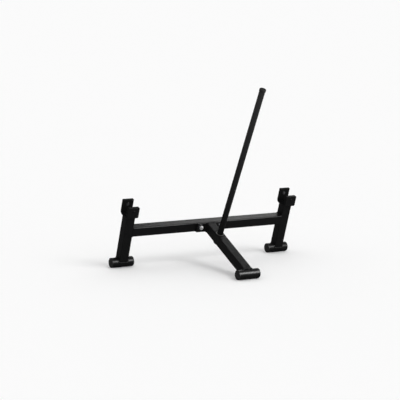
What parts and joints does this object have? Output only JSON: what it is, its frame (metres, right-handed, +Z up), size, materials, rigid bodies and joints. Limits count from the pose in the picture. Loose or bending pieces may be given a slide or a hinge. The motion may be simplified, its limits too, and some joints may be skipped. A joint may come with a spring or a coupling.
{
  "type": "deadlift jack",
  "caption": "Tilting lever jack of square tube that raises a loaded bar off the floor: lined cradles on leaning uprights, a bolted leg with a front foot, and a tall slide-in lever.",
  "frame": {"origin": "on the floor, under the middle of the bounding box", "axes": "+Z up, +X along the crossbeam towards the right cradle, the leg, front foot and lever's top on the -Y side"},
  "size_m": [1.0726, 0.5518, 0.9608],
  "materials": {
    "frame_paint": "satin black powder coat",
    "lever_paint": "satin black powder coat",
    "cradle_liner": "matte machined plastic",
    "foot_plug": "fine-grained moulded plastic",
    "lever_plastic": "soft moulded plastic",
    "zinc_hardware": "bright zinc plating",
    "black_hardware": "black oxide"
  },
  "bodies": {
    "frame": {"crossbeam": "frame_paint", "upright_left": "frame_paint", "upright_right": "frame_paint", "saddle_left": "frame_paint", "saddle_right": "frame_paint", "foot_left": "frame_paint", "foot_right": "frame_paint", "foot_front": "frame_paint", "leg_flange": "frame_paint", "leg": "frame_paint", "lever_socket": "frame_paint", "socket_floor": "frame_paint", "seat_liner_left": "cradle_liner", "seat_liner_right": "cradle_liner", "rear_liner_left": "cradle_liner", "rear_liner_right": "cradle_liner", "front_liner_left": "cradle_liner", "front_liner_right": "cradle_liner", "foot_left_cap_outer": "foot_plug", "foot_left_cap_inner": "foot_plug", "foot_right_cap_inner": "foot_plug", "foot_right_cap_outer": "foot_plug", "foot_front_cap_left": "foot_plug", "foot_front_cap_right": "foot_plug", "flange_bolt_left": "zinc_hardware", "flange_bolt_right": "zinc_hardware", "flange_head_washer_left": "black_hardware", "flange_head_washer_right": "black_hardware", "flange_nut_washer_left": "black_hardware", "flange_nut_washer_right": "black_hardware", "flange_nut_left": "zinc_hardware", "flange_nut_right": "zinc_hardware", "rear_screw_left": "black_hardware", "rear_screw_right": "black_hardware", "rear_nut_left": "black_hardware", "rear_nut_right": "black_hardware", "front_screw_left": "black_hardware", "front_screw_right": "black_hardware"},
    "lever": {"lever": "lever_paint", "lever_top_cap": "lever_plastic", "lever_plug": "lever_plastic"}
  },
  "joints": [
    {"name": "lever_slide", "type": "slide", "parent": "frame", "child": "lever", "axis": [0, -0.392, 0.92], "range_m": [0, 0.055]}
  ]
}
